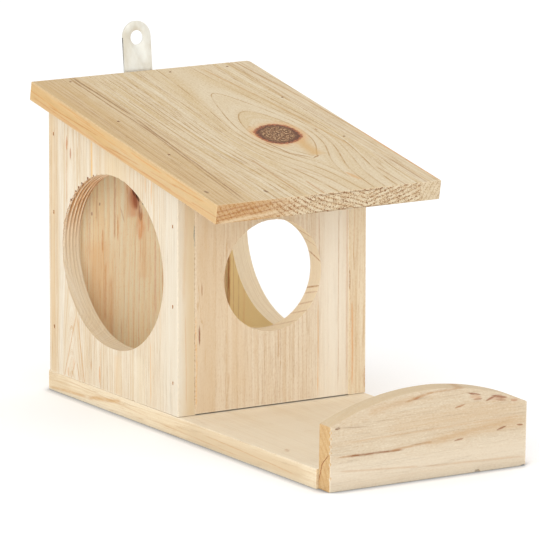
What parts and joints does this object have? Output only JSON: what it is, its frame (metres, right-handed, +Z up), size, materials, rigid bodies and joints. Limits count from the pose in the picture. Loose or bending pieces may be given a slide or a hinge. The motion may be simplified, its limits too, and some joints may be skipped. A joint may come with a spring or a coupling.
{
  "type": "squirrel feeder box",
  "caption": "Small softwood box with a sloping roof, feeding holes in the sides and front, a shelf with an arched end board, and a steel hanging strap.",
  "frame": {"origin": "centre of the base board's underside, on the surface that the feeder stands on", "axes": "+Z up, -Y out of the front (shelf side), +X to the right seen from the front"},
  "size_m": [0.1208, 0.2596, 0.1732],
  "materials": {
    "roof_wood": "sawn and sanded softwood, untreated, grain along the slope",
    "panel_wood": "sawn and sanded softwood, untreated, upright grain",
    "front_wood": "sawn and sanded softwood, untreated, upright grain",
    "back_wood": "sawn softwood, untreated, upright grain with a small knot",
    "base_wood": "sawn softwood, untreated, grain from the rear to the front",
    "stop_wood": "sawn softwood, untreated, grain across the front",
    "zinc_steel": "bright zinc plating",
    "screw_steel": "bright zinc plating",
    "nail_steel": "plain drawn wire"
  },
  "bodies": {
    "root": {"base_board": "base_wood", "left_side_panel": "panel_wood", "right_side_panel": "panel_wood", "front_panel": "front_wood", "back_panel": "back_wood", "roof_board": "roof_wood", "roof_edge_stave": "roof_wood", "stop_board": "stop_wood", "hanger_plate": "zinc_steel", "hanger_screws": "screw_steel", "left_front_nails": "nail_steel", "left_rear_nails": "nail_steel", "right_front_nails": "nail_steel", "right_rear_nails": "nail_steel", "roof_rear_nails": "nail_steel", "roof_left_nails": "nail_steel", "roof_right_nails": "nail_steel", "base_left_nails": "nail_steel", "base_right_nails": "nail_steel", "base_middle_nails": "nail_steel"}
  },
  "joints": []
}
